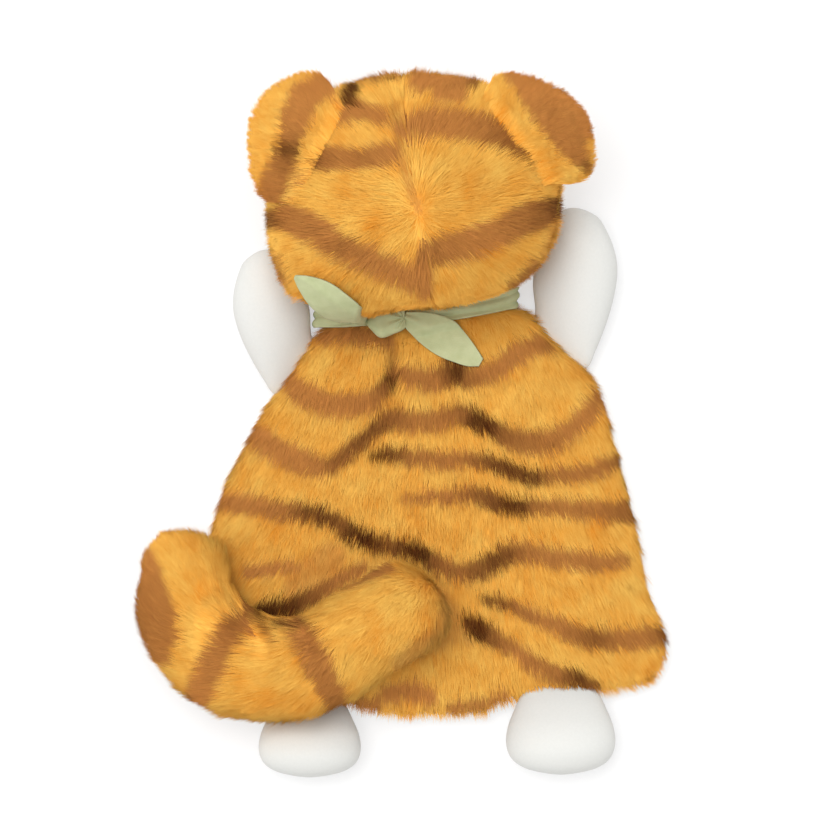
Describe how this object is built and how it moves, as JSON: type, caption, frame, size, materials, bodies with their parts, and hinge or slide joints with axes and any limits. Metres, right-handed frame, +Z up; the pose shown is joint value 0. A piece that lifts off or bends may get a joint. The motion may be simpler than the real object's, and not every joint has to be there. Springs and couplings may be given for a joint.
{
  "type": "plush tiger comforter",
  "caption": "Flat plush tiger comforter lying face down, with stuffed head, floppy ears, white paws and feet, bent striped tail and a knotted cotton scarf.",
  "frame": {"origin": "middle of the belly, on the surface that the toy lies on", "axes": "+Y from the hem to the crown of the head, +X to the right seen from above the back, +Z up from the surface"},
  "size_m": [0.2213, 0.2961, 0.09],
  "materials": {
    "long_pile_plush": "long-pile orange plush with airbrushed brown stripes, brushed",
    "cream_plush": "short-pile cream plush on the belly, muzzle and ear linings",
    "white_plush": "short-pile white plush of the paws",
    "sage_cotton": "plain-woven sage green cotton of the scarf",
    "fibre_fill": "loose white polyester fibre",
    "brown_thread": "satin-stitched dark brown embroidery",
    "black_thread": "satin-stitched black embroidery"
  },
  "bodies": {
    "torso": {"body_back_panel": "long_pile_plush", "body_front_panel": "cream_plush", "body_filling": "fibre_fill", "scarf_band": "sage_cotton", "scarf_knot": "sage_cotton"},
    "head": {"head_back_left": "long_pile_plush", "head_back_right": "long_pile_plush", "head_face_panel": "long_pile_plush", "head_filling": "fibre_fill", "muzzle": "cream_plush", "nose": "brown_thread", "eye_left": "black_thread", "eye_right": "black_thread", "scarf_tail_up": "sage_cotton"},
    "ear_left": {"ear_left_back": "long_pile_plush", "ear_left_lining": "cream_plush"},
    "ear_right": {"ear_right_back": "long_pile_plush", "ear_right_lining": "cream_plush"},
    "arm_left": {"arm_left_back_panel": "white_plush", "arm_left_front_panel": "white_plush", "arm_left_filling": "fibre_fill"},
    "arm_right": {"arm_right_back_panel": "white_plush", "arm_right_front_panel": "white_plush", "arm_right_filling": "fibre_fill"},
    "leg_left": {"leg_left_back_panel": "white_plush", "leg_left_front_panel": "white_plush", "leg_left_filling": "fibre_fill"},
    "leg_right": {"leg_right_back_panel": "white_plush", "leg_right_front_panel": "white_plush", "leg_right_filling": "fibre_fill"},
    "tail": {"tail_upper_panel": "long_pile_plush", "tail_lower_panel": "long_pile_plush", "tail_filling": "fibre_fill"},
    "scarf_end": {"scarf_tail_down": "sage_cotton"}
  },
  "joints": [
    {"name": "head_nod", "type": "hinge", "parent": "torso", "child": "head", "pos_m": [0, 0.094, 0.008], "axis": [1, 0, 0], "range_deg": [0, 20]},
    {"name": "ear_left_fold", "type": "hinge", "parent": "head", "child": "ear_left", "pos_m": [-0.04539, 0.15199, 0.07739], "axis": [0.4555, 0.8902, 0], "range_deg": [-10, 40], "stiffness_Nm_per_rad": 0.005},
    {"name": "ear_right_fold", "type": "hinge", "parent": "head", "child": "ear_right", "pos_m": [0.04364, 0.15832, 0.07346], "axis": [0.6018, -0.7986, 0], "range_deg": [-10, 40], "stiffness_Nm_per_rad": 0.005},
    {"name": "arm_left_swing", "type": "hinge", "parent": "torso", "child": "arm_left", "pos_m": [-0.05253, 0.06263, 0.008], "axis": [0.5621, 0.8271, 0], "range_deg": [-75, 0]},
    {"name": "arm_right_swing", "type": "hinge", "parent": "torso", "child": "arm_right", "pos_m": [0.06005, 0.07278, 0.008], "axis": [0.698, -0.7161, 0], "range_deg": [-75, 0]},
    {"name": "leg_left_swing", "type": "hinge", "parent": "torso", "child": "leg_left", "pos_m": [-0.0455, -0.07755, 0.008], "axis": [-1, 0, 0], "range_deg": [-60, 15]},
    {"name": "leg_right_swing", "type": "hinge", "parent": "torso", "child": "leg_right", "pos_m": [0.06, -0.07196, 0.008], "axis": [-1, 0, 0], "range_deg": [-60, 15]},
    {"name": "tail_lift", "type": "hinge", "parent": "torso", "child": "tail", "pos_m": [-0.00618, -0.03928, 0.0393], "axis": [-0.4711, 0.8821, 0], "range_deg": [0, 60]},
    {"name": "scarf_end_lift", "type": "hinge", "parent": "torso", "child": "scarf_end", "pos_m": [-0.0029, 0.0779, 0.0165], "axis": [-0.46, -0.8879, 0], "range_deg": [0, 30]}
  ]
}
